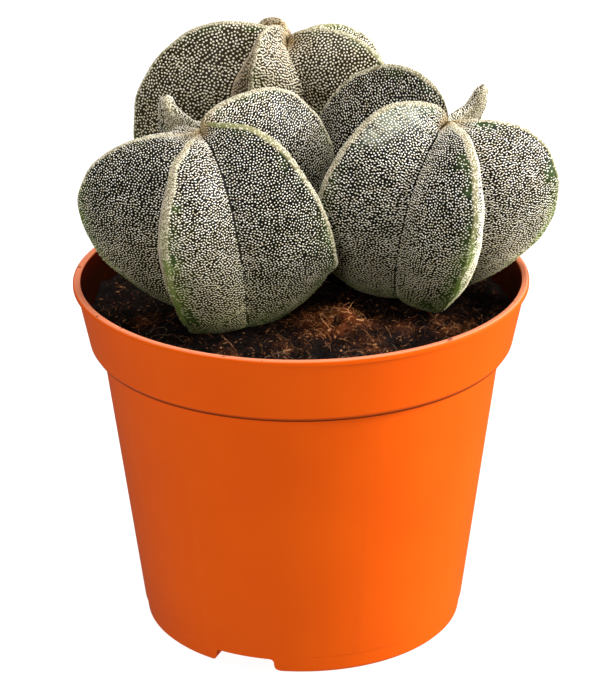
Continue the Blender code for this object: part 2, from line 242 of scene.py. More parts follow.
def potProfile():
    # (radius, height, fillet) in mm, from the middle of the floor inside, over the lip and down outside
    lipFoot = pot["height"] - pot["lipHeight"]
    collarFoot = pot["height"] - pot["collarHeight"]
    corners = [
        (0.0, pot["floor"], 0.0),
        (innerRadius(pot["floor"]), pot["floor"], 2.0),
        (innerRadius(collarFoot - 1) - 0.3, collarFoot - 1.0, 0.6),
        (innerRadius(collarFoot + 1.2), collarFoot + 1.2, 0.8),
        (innerRadius(pot["height"]), pot["height"] - 0.2, 0.35),
        (pot["lipRadius"] - 0.6, pot["height"], 0.5),
        (pot["lipRadius"], pot["height"] - 0.45, 0.3),
        (pot["lipRadius"], lipFoot, 0.25),
        (pot["lipRadius"] - pot["lipOverhang"], lipFoot - 0.3, 0.35),
        (pot["collarFoot"] + 0.05, collarFoot + 1.6, 1.2),
        (pot["collarFoot"] - 1.0, collarFoot, 0.3),
        (pot["bodyTop"], collarFoot - 0.3, 0.25),
        (pot["bandRadius"], pot["bandHeight"], 0.1),
        (pot["bandRadius"] - pot["bandStep"], pot["bandHeight"] - 0.3, 0.1),
        (pot["baseRadius"], 0.9, 0.9),
        (pot["baseRadius"] - 0.9, 0.0, 0.8),
        (0.0, 0.0, 0.0),
    ]
    points = [Vector((corners[0][0], corners[0][1]))]
    for before, corner, after in zip(corners, corners[1:], corners[2:]):
        points += roundCorner(before[:2], corner[:2], after[:2], corner[2])
    return points + [Vector(corners[-1][:2])]


def makePot():
    deselect()
    bpy.ops.mesh.primitive_plane_add(size=0.001)
    shell = named("potShell")
    bpy.ops.object.mode_set(mode="EDIT")
    bpy.ops.mesh.delete(type="VERT")
    work = bmesh.from_edit_mesh(shell.data)
    verts = [work.verts.new((p.x * mm, 0.0, p.y * mm)) for p in potProfile()]
    for a, b in zip(verts, verts[1:]):
        work.edges.new((a, b))
    bmesh.update_edit_mesh(shell.data)
    bpy.ops.mesh.select_all(action="SELECT")
    bpy.ops.mesh.spin(steps=pot["sides"], angle=math.tau, center=(0, 0, 0), axis=(0, 0, 1))
    bpy.ops.mesh.select_all(action="SELECT")
    bpy.ops.mesh.remove_doubles(threshold=0.00002)
    bpy.ops.mesh.normals_make_consistent(inside=False)
    bpy.ops.object.mode_set(mode="OBJECT")
    cutters = []
    for turn in range(3):
        angle = math.radians(pot["channelTurn"] + 120 * turn)
        for k, (grow, operation) in enumerate(((pot["floor"], "UNION"), (0.0, "DIFFERENCE"))):
            block = channelBlock(f"channel{turn}{k}", angle, grow, operation == "UNION")
            joinBoolean(shell, block, operation)
            cutters.append(block)
        for k, out in enumerate(pot["drains"]):
            deselect()
            height = pot["channelHeight"] + 0.5
            place = Vector((out * math.sin(angle), -out * math.cos(angle), height)) * mm
            bpy.ops.mesh.primitive_cylinder_add(vertices=28, radius=pot["drainRadius"] * mm, depth=4 * mm,
                                                location=place)
            drill = named(f"drain{turn}{k}")
            joinBoolean(shell, drill, "DIFFERENCE")
            cutters.append(drill)
    applyAll(shell)
    for cutter in cutters:
        bpy.data.objects.remove(cutter)
    pick(shell)
    bpy.ops.object.shade_smooth_by_angle(angle=math.radians(32))
    return shell


def channelBlock(name, angle, grow, roof):
    # a straight channel with a rounded roof, whose mouth on the foot flares in an S curve
    half, top = pot["channelWidth"] / 2 + grow, pot["channelHeight"] + grow
    fillet = pot["channelFillet"]
    turns = [i * math.pi / 8 for i in range(5)]
    side = [(half - fillet * (1 - math.sin(t)), top - fillet * (1 - math.cos(t))) for t in turns]
    if roof:
        side.append((half, 0.6))
    else:
        flare = pot["channelFlare"]
        turns = [i * math.pi / 12 for i in range(7)]
        side += [(half + flare * (1 - math.cos(t)), flare * (1 - math.sin(t))) for t in turns]
        side.append((half + flare, -1.0))
    section = side + [(-u, v) for u, v in reversed(side)]
    start = pot["channelStart"] - grow
    end = pot["baseRadius"] - 2.2 if roof else pot["lipRadius"]
    deselect()
    bpy.ops.mesh.primitive_circle_add(vertices=len(section), radius=1.0, fill_type="NGON")
    block = named(name)
    for vert, (across, z) in zip(block.data.vertices, section):
        vert.co = Vector((start * math.sin(angle) + across * math.cos(angle),
                          -start * math.cos(angle) + across * math.sin(angle), z)) * mm
    pick(block)
    bpy.ops.object.mode_set(mode="EDIT")
    bpy.ops.mesh.select_all(action="SELECT")
    run = (end - start) * mm
    bpy.ops.mesh.extrude_region_move(TRANSFORM_OT_translate={
        "value": (run * math.sin(angle), -run * math.cos(angle), 0.0)})
    bpy.ops.mesh.select_all(action="SELECT")
    bpy.ops.mesh.normals_make_consistent(inside=False)
    bpy.ops.object.mode_set(mode="OBJECT")
    return block


def joinBoolean(obj, other, operation):
    cut = obj.modifiers.new(f"{operation} {other.name}", "BOOLEAN")
    cut.operation = operation
    cut.solver = "EXACT"
    cut.object = other


def mouldedPolypropylene():
    # injection-moulded polypropylene: satin, evenly dyed, faint clouding and a fine pebbled gloss
    made, tree = newMaterial("mouldedPolypropylene")
    place = addNode(tree, "ShaderNodeTexCoord").outputs["Object"]
    height = addNode(tree, "ShaderNodeSeparateXYZ", {"Vector": place}).outputs["Z"]
    # peat dust clings inside, above the soil's edge, and the inside wall is painted darker as painted shade,
    # darker still further down
    top = pot["height"]
    level = addNode(tree, "ShaderNodeMapRange", {
        "Value": height,
        "From Min": (top - 0.2) * mm,
        "From Max": (top - 0.8) * mm,
        "To Max": 0.96,
    }).outputs["Result"]
    deeperDustAndShade = addNode(tree, "ShaderNodeMapRange", {
        "Value": height,
        "From Min": (top - 1.0) * mm,
        "From Max": (top - 5.0) * mm,
    }).outputs["Result"]
    speck = cloudShare(tree, 420.0, 0.12, 0.3, detail=4.0)
    dustAndShade = product(tree, level, speck, vertexShare(tree, "inside", 0.0, 1.0))
    # the lip is painted paler, partly scuffed and partly a painted sheen of reflected light, with a few
    # grains on it
    scuffAndSheen = vertexShare(tree, "lip", 0.0, 1.0, 0.0, 0.65)
    grit = product(tree, scuffAndSheen, cloudShare(tree, 330.0, 0.68, 0.74, detail=1.0))
    colour = tint(tree, hexColour("#CA4B00"), (
        (cloudShare(tree, 38.0, 0.3, 0.7), "#D05000"),
        # painted shade over the peat dust: the inside wall is darkened, darkest further down
        (dustAndShade, tint(tree, hexColour("#3C0A04"), ((deeperDustAndShade, "#160803"),))),
        # painted sheen and scuffing: the lip's top turns pale pink
        (scuffAndSheen, "#D88C6C"),
        (grit, "#3A140A"),
    ))
    pebble = addNode(tree, "ShaderNodeTexNoise", {"Vector": place, "Scale": 900.0, "Detail": 2.0})
    wave = addNode(tree, "ShaderNodeTexNoise", {"Vector": place, "Scale": 60.0, "Detail": 1.0})
    relief = addNode(tree, "ShaderNodeMath", {
        0: wave.outputs["Fac"],
        1: 4.0,
        2: pebble.outputs["Fac"],
    }, operation="MULTIPLY_ADD").outputs[0]
    bump = addNode(tree, "ShaderNodeBump", {"Strength": 0.25, "Distance": 0.00004, "Height": relief})
    shader = addNode(tree, "ShaderNodeBsdfPrincipled", {
        "Base Color": colour,
        "Roughness": cloudShare(tree, 900.0, 0.2, 0.8, 0.36, 0.46, detail=2.0),
        "IOR": 1.49,
        "Specular IOR Level": 0.05,
        "Normal": bump.outputs["Normal"],
    })
    closeMaterial(tree, shader)
    return made


potShell = makePot()
insideShare, lipShare = [], []
for vert in potShell.data.vertices:
    radius, z = math.hypot(vert.co.x, vert.co.y) / mm, vert.co.z / mm
    insideShare.append(1.0 if z > 76 and radius < innerRadius(z) + 0.3 else 0.0)
    lipShare.append(1.0 if z > pot["height"] - 0.3 else 0.0)
floatLayer(potShell.data, "inside", insideShare)
floatLayer(potShell.data, "lip", lipShare)
potShell.data.materials.append(mouldedPolypropylene())
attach(potShell, "root")
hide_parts("pot")
report(potShell)


# ribs: turn, rise, shoulder, reach, drop, foot, sweep, tuck, valley, in degrees and mm: the solids' own
# measures, fitted closer to the photograph
# coat, for each rib: how merged the flecks are on its left and right flank, and how brown each of them is
# bead, for each rib: half the crest's width in mm at its top, middle and low part
# felt, for each rib: how felted its crest is at its top, middle and low part
# swell: how full a flank is, by rib and side, where it isn't full
# seams, for a furrow: from, to and half-width in mm of each stretch where its two flanks part
# lead: how far a furrow turns off its middle course at its top, in degrees, and the share where that ends
# veer: how far it turns off towards its foot, in degrees
# bare spots, and spots of painted highlight standing in for the wax's gloss: rib, flank, share along the
# crest, share inward, radius in mm
# horn rows: height over the crown, left, right, how far the end beside the crown comes forward; in mm
plants = {
    "left": {
        "node": "cactus_left",
        "crown": (-25.4, -14.1, 141.1),
        "root": (-19.9, -9.0),
        "ribs": (
            (-90, -1.8, 7.7, 34.2, 23.6, 3.0, -5.4, 1.8, 0.54),
            (-19.8, -1.0, 4.4, 26.5, 24.7, 15.4, -9.6, 1.65, 0.62),
            (61, 2.8, 10.9, 32.3, 34.4, 15.6, 25, 1.15, 0.52),
            (122.5, 7.6, 18.2, 37.1, 13.8, 15.8, -6.1, 1.9, 0.56),
            (-162, -1.5, 10.0, 26.0, 20.0, 14.0, 0, 2.0, 0.58),
        ),
        "coat": ((0.4, 0.1, 0.2, 0.0), (0.6, 0.5, 0.6, 0.1), (0.15, 0.35, 0.0, 0.1), (0.5, 0.4, 0.1, 0.1),
                 (0.3, 0.4, 0.2, 0.2)),
        "bead": ((0.8, 0.65, 0.5), (0.8, 0.8, 0.6), (1.2, 0.7, 0.6), (0.75, 0.65, 0.5), (0.8, 0.7, 0.6)),
        "felt": ((0.9, 0.6, 0.1), (0.95, 0.9, 0.0), (0.15, 0.75, 0.2), (0.9, 0.8, 0.5), (0.9, 0.7, 0.3)),
        "swell": {(1, -1): 0.25},
        "seams": {1: ((0.02, 0.60, 0.19), (0.66, 0.90, 0.11)), 0: ((0.0, 0.9, 0.09),)},
        "lead": {0: (46.0, 0.72)},
        "veer": {0: -7.0},
        "horn": {"y": -1.8, "side": 1, "ridge": 0.0, "keel": 0.7, "tan": (0.3, 0.3), "felt": 0.9, "rows": (
            (5.2, -34.5, -34.3, 0), (4.7, -35.5, -33.2, 0), (4.0, -35.9, -32.5, 0), (3.0, -36.2, -32.2, 0),
            (2.2, -36.3, -31.8, 0.3), (0.5, -36.3, -30.3, 2), (-1.6, -36.5, -28.0, 5),
            (-3.3, -36.2, -26.3, 7.5), (-4.6, -36.1, -25.0, 9), (-8.0, -35.5, -26.5, 8),
            (-11.0, -31.0, -30.9, 3))},
        "pitch": 0.63,
        "grain": (0.62, 0.80),
        "olive": 0.0,
        "seed": 11,
        "bare": ((1, 1, 0.82, 0.10, 2.2), (2, -1, 0.88, 0.3, 3.0), (0, 1, 0.93, 0.4, 4.0),
                 (2, -1, 0.33, 0.2, 1.2), (1, 1, 0.42, 0.10, 1.3), (1, 1, 0.58, 0.08, 1.6),
                 (2, -1, 0.42, 0.25, 1.4)),
        "bloom": (),
    },
    "right": {
        "node": "cactus_right",
        "crown": (38.3, -1.2, 138.3),
        "root": (29.8, 9.4),
        "ribs": (
            (-62.4, 7.4, 14.7, 35.3, 23.4, 10.5, -2, 1.5, 0.66),
            (18.0, 0.7, 7.0, 33.3, 27.1, 18.3, -4.4, 1.8, 0.52),
            (81.5, 0.6, 11.4, 32.8, 24.2, 9.4, 7, 1.75, 0.56),
            (159, -2.0, 9.0, 23.5, 19.9, 14.0, 0, 2.0, 0.50),
            (-122.4, 12.9, 14.4, 39.7, 17.8, 14.9, 8.2, 2.0, 0.50),
        ),
        "coat": ((0.3, 0.4, 0.1, 0.0), (0.35, 0.9, 0.0, 0.1), (0.5, 0.3, 0.1, 0.1), (0.3, 0.4, 0.2, 0.2),
                 (0.35, 0.15, 0.1, 0.1)),
        "bead": ((0.8, 0.65, 0.5), (0.95, 0.5, 0.45), (0.7, 0.6, 0.5), (0.8, 0.7, 0.6), (0.65, 0.6, 0.5)),
        "felt": ((0.95, 0.9, 0.4), (1.0, 0.5, 0.0), (0.95, 0.3, 0.5), (0.9, 0.8, 0.5), (0.7, 0.6, 0.4)),
        "swell": {},
        "seams": {0: ((0.03, 0.34, 0.15), (0.62, 0.86, 0.1)), 1: ((0.0, 0.9, 0.09),)},
        "lead": {0: (-38.0, 0.2), 1: (-36.0, 0.75)},
        "veer": {0: 4.0},
        "horn": {"y": 8.4, "side": -1, "ridge": 0.2, "keel": 0.4, "tan": (0.25, 0.35), "felt": 0.9, "rows": (
            (6.9, 47.5, 47.7, 0), (6.4, 46.6, 48.5, 0), (5.6, 45.7, 49.0, 0), (4.8, 45.3, 49.0, 0),
            (3.2, 44.3, 48.8, 0), (2.1, 43.6, 48.8, 0.5), (0.7, 42.5, 48.5, 1.5), (-0.6, 40.5, 48.0, 4),
            (-2.0, 38.7, 47.5, 6.5), (-3.1, 37.6, 47.0, 8.5), (-7.0, 38.5, 46.5, 8), (-10.0, 42.0, 42.1, 3))},
        "pitch": 0.63,
        "grain": (0.65, 0.83),
        "olive": 0.0,
        "seed": 23,
        "bare": ((1, -1, 0.30, 0.18, 1.7), (1, -1, 0.38, 0.08, 1.5), (1, -1, 0.47, 0.05, 1.0),
                 (1, -1, 0.58, 0.05, 1.0), (1, -1, 0.66, 0.06, 1.8), (1, -1, 0.74, 0.04, 1.6),
                 (1, -1, 0.82, 0.30, 2.4), (2, -1, 0.42, 0.06, 2.4), (2, -1, 0.16, 0.30, 2.2),
                 (4, -1, 0.22, 0.25, 1.6), (4, -1, 0.30, 0.2, 1.4), (0, 1, 0.10, 0.30, 1.6)),
        "bloom": ((0, 1, 0.17, 0.34, 3.0), (0, 1, 0.24, 0.26, 3.2), (0, 1, 0.30, 0.22, 2.6)),
    },
    "back": {
        "node": "cactus_back",
        "crown": (-3.1, 35.8, 148.7),
        "root": (-7.7, 37.9),
        "ribs": (
            (-94.3, 5.5, 15.3, 40.5, 23.2, 14.7, -2.4, 1.8, 0.52),
            (-28.6, 7.0, 10.7, 19.9, 4.0, 11.7, 1.9, 2.0, 0.50),
            (70.3, 4.7, 10.7, 33.8, 21.8, 13.9, 2.2, 2.0, 0.54),
            (131.6, 2.4, 9.6, 35.8, 19.6, 13.8, -2.6, 2.0, 0.58),
            (-161.0, 4.3, 6.5, 26.2, 15.5, 8.8, 2.9, 1.8, 0.56),
        ),
        "coat": ((0.2, 0.15, 0.2, 0.2), (0.6, 0.6, 0.9, 0.35), (0.08, 0.3, 0.25, 0.2), (0.3, 0.4, 0.2, 0.2),
                 (0.3, 0.4, 1.0, 1.0)),
        "bead": ((0.75, 0.7, 0.55), (0.45, 0.4, 0.4), (0.75, 0.7, 0.55), (0.8, 0.8, 0.6), (1.9, 1.6, 0.9)),
        "felt": ((0.9, 0.6, 0.3), (1.0, 1.0, 1.0), (0.7, 0.5, 0.4), (0.4, 0.4, 0.4), (0.6, 0.5, 0.4)),
        "swell": {(1, -1): 0.3, (1, 1): 0.25},
        "seams": {},
        "lead": {1: (-34.0, 0.5), 0: (-10.0, 0.5)},
        "veer": {1: 18.0},
        "horn": None,
        "pitch": 0.78,
        "grain": (0.72, 0.92),
        "olive": 0.7,
        "seed": 37,
        "bare": (),
        "bloom": (),
    },
}

body = {
    "flankSteps": 22,
    "crestSteps": 116,
    "underSteps": 6,
    "shoulderShare": 0.14,
    "widestShare": 0.54,
    "beadSteps": (0.0, 0.17, 0.4, 0.7, 1.05, 1.5, 2.1),  # in half-widths of the rounded crest
    "furrowSteps": (0.0, 0.12, 0.26, 0.45, 0.9),
    "bulge": 0.09,
    "waveHeight": 0.45,  # mm, how far a crest strays from its smooth curve
    "faceWave": 0.35,
    "soilLevel": 88.0,
    "footLevel": 88.7,
    "neckRadius": 7.0,
    "neckShare": 1 / 3,
    "rootLength": 26.0,
    "rootTip": 2.5,
}


def arch(share, rise, shoulder, reach, drop, foot, tuck, height):
    # distance from the axis and height over the crown, as three quarters of ellipses
    first, second = body["shoulderShare"], body["widestShare"]
    a = np.clip(share / first, 0, 1) * math.pi / 2
    b = np.clip((share - first) / (second - first), 0, 1) * math.pi / 2
    c = np.clip((share - second) / (1 - second), 0, 1) * math.pi / 2
    out = np.where(share < first, shoulder * (1 - np.cos(a)), shoulder + (reach - shoulder) * np.sin(b))
    up = np.where(share < first, rise * np.sin(a), -drop + (rise + drop) * np.cos(b))
    low = share >= second
    out = np.where(low, foot + (reach - foot) * np.maximum(0, np.cos(c)) ** (2 / tuck), out)
    up = np.where(low, -drop - (height - drop) * np.sin(c) ** (2 / tuck), up)
    return out, up


def placeAlong(plant, share, turn, rise, shoulder, reach, drop, foot, tuck):
    crown, root = np.array(plant["crown"]), np.array((*plant["root"], body["soilLevel"]))
    out, up = arch(share, rise, shoulder, reach, drop, foot, tuck, crown[2] - body["footLevel"])
    z = crown[2] + up
    lean = np.clip((crown[2] - z) / (crown[2] - root[2]), 0, 1)[:, None]
    centre = crown + (root - crown) * lean
    angle = np.radians(turn)
    return np.stack((centre[:, 0] + out * np.sin(angle), centre[:, 1] - out * np.cos(angle), z), 1)


def waves(share, seed, lengths):
    # a smooth curve about 0, between -1 and 1, from a few sine waves
    draw = random.Random(seed)
    total = np.zeros_like(share)
    for length in lengths:
        total += np.sin(share * math.tau / length + draw.uniform(0, math.tau)) * draw.uniform(0.5, 1.0)
    return total / len(lengths)


def sizeAlong(plant, kind, index, share):
    return np.interp(share, (0.12, 0.4, 0.8), plant[kind][index % 5])


def crestLine(plant, index, share):
    turn, rise, shoulder, reach, drop, foot, sweep, tuck = plant["ribs"][index % 5][:8]
    line = placeAlong(plant, share, turn + sweep * share, rise, shoulder, reach, drop, foot, tuck)
    fade = np.clip(share / 0.1, 0, 1) * np.clip((1 - share) / 0.06, 0, 1)
    angle = np.radians(turn + sweep * share)
    out = np.stack((np.sin(angle), -np.cos(angle), np.zeros_like(angle)), 1)
    side = np.stack((np.cos(angle), np.sin(angle), np.zeros_like(angle)), 1)
    seed = plant["seed"] * 100 + (index % 5) * 7
    bump = waves(share, seed, (0.31, 0.17, 0.11)) * body["waveHeight"] * fade
    sway = waves(share, seed + 1, (0.42, 0.23, 0.13)) * body["waveHeight"] * 1.3 * fade
    return line + out * bump[:, None] + side * sway[:, None]


def furrowLine(plant, index, share):
    here, after = plant["ribs"][index % 5], plant["ribs"][(index + 1) % 5]
    gap = (after[0] - here[0]) % 360
    sweep = (here[6] + after[6]) / 2 + plant["veer"].get(index % 5, 0.0)
    lead, end = plant["lead"].get(index % 5, (0.0, 0.5))
    turn = here[0] + gap / 2 + sweep * share + lead * np.clip(1 - share / end, 0, 1)
    reach = (here[3] + after[3]) / 2 * here[8]
    reach *= math.cos(math.radians(gap / 2)) / math.cos(math.radians(36))
    drop = (here[4] + after[4]) / 2
    foot = max(4.0, min(here[5], after[5]) * 0.72)
    return placeAlong(plant, share, turn, -1.5, 3.0, reach, drop, foot, 2.0)


def seamLine(plant, index, share):
    # how far apart a furrow's two flanks stand, each way, in mm
    width = np.full_like(share, 0.05)
    for start, end, half in plant["seams"].get(index, ()):
        window = np.clip((share - start) / 0.05, 0, 1) * np.clip((end - share) / 0.05, 0, 1)
        width = np.maximum(width, half * window)
    return width


def spots(plant, marks, point, rib, side):
    # 1 at a spot's middle, 0 outside it
    found = np.zeros(len(point))
    for index, flank, along, inward, size in marks:
        crest = crestLine(plant, index, np.array([along]))[0]
        furrow = furrowLine(plant, index if flank > 0 else index - 1, np.array([along]))[0]
        gap = np.linalg.norm(point - (crest + (furrow - crest) * inward), axis=1)
        ragged = np.ones(len(point))
        for i in np.nonzero(gap < 2 * size)[0]:
            ragged[i] += 0.6 * noise.noise(Vector(point[i]) / 0.9)
        here = (rib == index) & (side == flank)
        found = np.maximum(found, np.clip(1.6 - gap / size * ragged, 0, 1) * here)
    return found


def rootPoints(plant, point, low, tip):
    # the underside, the neck and the root; low is 0 at the foot's edge and 1 at the root's tip
    root = np.array((*plant["root"], body["soilLevel"]))
    flat = point - root
    flat[:, 2] = 0
    length = np.maximum(np.linalg.norm(flat, axis=1), 1e-6)
    neck, neckShare = body["neckRadius"], body["neckShare"]
    inward = np.clip(low / neckShare, 0, 1)
    down = np.clip((low - neckShare) / (1 - neckShare), 0, 1)
    radius = np.where(low <= neckShare, length + (neck - length) * inward,
                      neck + (body["rootTip"] - neck) * down)
    below = root + flat / length[:, None] * radius[:, None]
    below[:, 2] = np.where(low <= neckShare, body["footLevel"] + inward,
                           body["soilLevel"] - (body["rootLength"] - 1) * down)
    below[tip] = (root[0], root[1], body["soilLevel"] - body["rootLength"])
    return below


def paintPlant(mesh, plant, point, rib, side, onBody, along, depth, width, bead, seam, felt, stroke):
    # the vertex attributes that the skin, the wool and the scatters read; depth and width in mm
    coat = np.array(plant["coat"])[rib]
    right = (side > 0).astype(int)
    every = np.arange(len(rib))
    patch = np.array([noise.noise(Vector(p) / 4.5) for p in point])
    low = 0.2 * np.clip((along - 0.4) / 0.3, 0, 1)
    inner = 0.25 * np.exp(-((width - depth) / 4) ** 2)
    wool = np.maximum(0.0, coat[every, right] + low + inner + 0.5 * patch)
    # the skin shows green beside the lower crests and round the foot, where the wool has worn off
    rim = np.exp(-(depth / 3.2) ** 2) * np.clip((along - 0.4) / 0.22, 0, 1)
    base = 0.75 * np.clip((along - 0.76) / 0.16, 0, 1)
    green = np.clip(np.maximum(rim, base) * (0.85 + 0.9 * patch), 0, 1) * (1 - plant["olive"])
    fromFurrow = np.where(onBody, width - depth, 30.0)
    layers = {
        "fromCrest": np.where(onBody, depth * 0.7 / np.maximum(bead, 0.05), 30.0),
        "fromFurrow": fromFurrow,
        "offSlit": fromFurrow - seam,
        "offSeam": fromFurrow - 2 * seam,
        "seam": seam,
        "wool": np.minimum(1.0, wool),
        "tan": coat[every, 2 + right],
        "felt": felt,
        "olive": np.full(len(rib), plant["olive"]),
        "green": green,
        "bare": spots(plant, plant["bare"], point, rib, side),
        "bloom": spots(plant, plant["bloom"], point, rib, side),
        "along": along,
        "crownGap": np.linalg.norm(point - np.array(plant["crown"]), axis=1),
        "onBody": onBody,
    }
    for name, values in layers.items():
        floatLayer(mesh, name, values)
    vectorLayer(mesh, "stroke", stroke)


def newGlobe(name, segments, rings):
    # a new sphere's faces come in another order each run, which the scatter would show, so they are sorted
    deselect()
    bpy.ops.mesh.primitive_uv_sphere_add(segments=segments, ring_count=rings, radius=1.0)
    globe = named(name)
    bpy.ops.object.mode_set(mode="EDIT")
    work = bmesh.from_edit_mesh(globe.data)
    count = len(work.verts)

    def faceNumber(face):
        first, second, third = sorted(vert.index for vert in face.verts)[:3]
        return (first * count + second) * count + third

    work.faces.sort(key=faceNumber)
    bmesh.update_edit_mesh(globe.data)
    bpy.ops.object.mode_set(mode="OBJECT")
    return globe


def shapePlant(name, plant):
    steps, rings, under = body["flankSteps"], body["crestSteps"], body["underSteps"]
    columns = 10 * steps
    allRings = rings + under + 1
    obj = newGlobe(f"plant{name.capitalize()}", columns, allRings)
    mesh = obj.data
    start = np.empty(len(mesh.vertices) * 3, dtype=np.float32)
    mesh.vertices.foreach_get("co", start)
    start = start.reshape(-1, 3).astype(float)
    ring = np.rint(np.arccos(np.clip(start[:, 2], -1, 1)) / math.pi * allRings).astype(int)
    column = np.rint(np.arctan2(start[:, 1], start[:, 0]) / math.tau * columns).astype(int) % columns
    share = np.minimum(1.0, np.arange(allRings + 1) / rings)
    crests = [crestLine(plant, i, share) for i in range(5)]
    furrows = [furrowLine(plant, i, share) for i in range(5)]
    rib, step = np.divmod(column, 2 * steps)
    side = np.where(step <= steps, -1, 1)
    fromEdge = np.abs(step - steps)  # steps away from the crest
    crest = np.array(crests)[rib, ring]
    between = np.where(side > 0, rib, (rib - 1) % 5)  # the furrow beside each point
    furrow = np.array(furrows)[between, ring]
    chord = crest - furrow
    width = np.hypot(chord[:, 0], chord[:, 1])
    beads = np.array(body["beadSteps"])
    small = np.minimum(1.0, width / 6.0)
    last = len(beads) - 1
    bead = np.array([sizeAlong(plant, "bead", i, share) for i in range(5)])[rib, ring] * small
    edge = beads[np.minimum(fromEdge, last)] * bead
    rest = beads[-1] * bead
    creases = np.array(body["furrowSteps"])
    fromInner = steps - fromEdge
    inner = creases[np.minimum(fromInner, len(creases) - 1)] * small
    wide = steps - last - (len(creases) - 1)
    depth = rest + (width - rest - creases[-1] * small) * (fromEdge - last) / wide
    depth = np.where(fromEdge <= last, edge, np.where(fromInner < len(creases), width - inner, depth))
    safe = np.maximum(width, 1e-6)
    across = np.clip(1 - depth / safe, 0, 1)
    full = np.ones(len(width))
    for (index, flank), amount in plant["swell"].items():
        full[(rib == index) & (side == flank)] = amount
    swell = across ** 0.85 * (1 - across) ** 1.1 * 3.9 * body["bulge"] * width * full
    lens = np.sqrt(np.clip(1 - (1 - np.minimum(depth, bead) / np.maximum(bead, 1e-6)) ** 2, 0, 1)) * bead
    groove = 0.2 * bead * np.exp(-((depth - 1.45 * bead) / (0.36 * bead + 1e-6)) ** 2)
    seam = np.array([seamLine(plant, i, share) for i in range(5)])[between, ring]
    crease = 5.5 * seam * small * np.exp(-((width - depth) / (seam + 0.12)) ** 2)
    blunt = np.minimum(lens, bead * np.minimum(1.0, across / 0.6)) - groove
    away = np.stack((-chord[:, 1], chord[:, 0], np.zeros_like(width)), 1) / safe[:, None] * side[:, None]
    inwards = -chord / np.maximum(np.linalg.norm(chord, axis=1), 1e-6)[:, None]
    point = furrow + chord * across[:, None] + away * (swell + blunt)[:, None] + inwards * crease[:, None]
    below = rootPoints(plant, point, (ring - rings) / under, ring == allRings)
    point = np.where((ring > rings)[:, None], below, point)
    # soft unevenness of the flesh
    face = np.clip((depth - rest) / 3, 0, 1) * np.clip((width - depth) / 3, 0, 1) * (ring <= rings)
    for i in np.nonzero(face > 0)[0]:
        p = Vector(point[i] + plant["seed"])
        wave = noise.noise(p / 9.0) + 0.5 * noise.noise(p / 3.5)
        point[i] += away[i] * body["faceWave"] * face[i] * wave
    mesh.vertices.foreach_set("co", (point * mm).astype(np.float32).ravel())
    mesh.update()
    along = np.minimum(1.0, ring / rings)
    felt = np.array([sizeAlong(plant, "felt", i, share) for i in range(5)])[rib, ring]
    stroke = chord / np.maximum(np.linalg.norm(chord, axis=1), 1e-6)[:, None]
    paintPlant(mesh, plant, point, rib, side, ring <= rings, along, depth, width, bead, seam, felt, stroke)
    pick(obj)
    bpy.ops.object.mode_set(mode="EDIT")
    bpy.ops.mesh.select_all(action="SELECT")
    bpy.ops.mesh.normals_make_consistent(inside=False)
    bpy.ops.object.mode_set(mode="OBJECT")
    bpy.ops.object.shade_smooth()
    return obj


def shapeHorn(name, plant):
    # a stunted rib, lofted through its rows, with a keel in front and a web that runs forward to the crown
    horn = plant["horn"]
    obj = newGlobe(f"horn{name.capitalize()}", 40, 48)
    rows = np.array(horn["rows"], dtype=float)
    places = np.linspace(0, 1, len(rows))
    across = []
    for vert in obj.data.vertices:
        level = math.acos(max(-1.0, min(1.0, vert.co.z))) / math.pi
        up, left, right, near = (float(np.interp(level, places, rows[:, i])) for i in range(4))
        angle = math.atan2(vert.co.y, vert.co.x)
        u, v = math.cos(angle), math.sin(angle)
        half = (right - left) / 2
        deep = min(half, 2.2) * 0.85
        toward = max(0.0, u * horn["side"])
        keel = horn["keel"] * math.exp(-((u - horn["ridge"]) / 0.3) ** 2) * min(1.0, half / 2) * (v < 0)
        place = ((left + right) / 2 + half * u, horn["y"] + deep * v - near * toward - keel,
                 plant["crown"][2] + up + 0.41 * near * toward)
        vert.co = Vector(place) * mm
        across.append(u - horn["ridge"])
    across = np.array(across)
    even = {"fromFurrow": 10.0, "offSlit": 10.0, "offSeam": 10.0, "seam": 0.0, "crownGap": 8.0, "along": 0.0,
            "wool": 0.9, "felt": horn["felt"], "olive": 0.3, "green": 0.0, "bare": 0.0, "bloom": 0.0,
            "onBody": 1.0}
    for layer, value in even.items():
        floatLayer(obj.data, layer, [value] * len(across))
    floatLayer(obj.data, "fromCrest", 0.3 + 6.0 * (1.05 - horn["felt"]) * np.abs(across))
    floatLayer(obj.data, "tan", np.where(across < 0, *horn["tan"]))
    vectorLayer(obj.data, "stroke", [(0.0, 0.0, 1.0)] * len(across))
    pick(obj)
    bpy.ops.object.shade_smooth()
    return obj


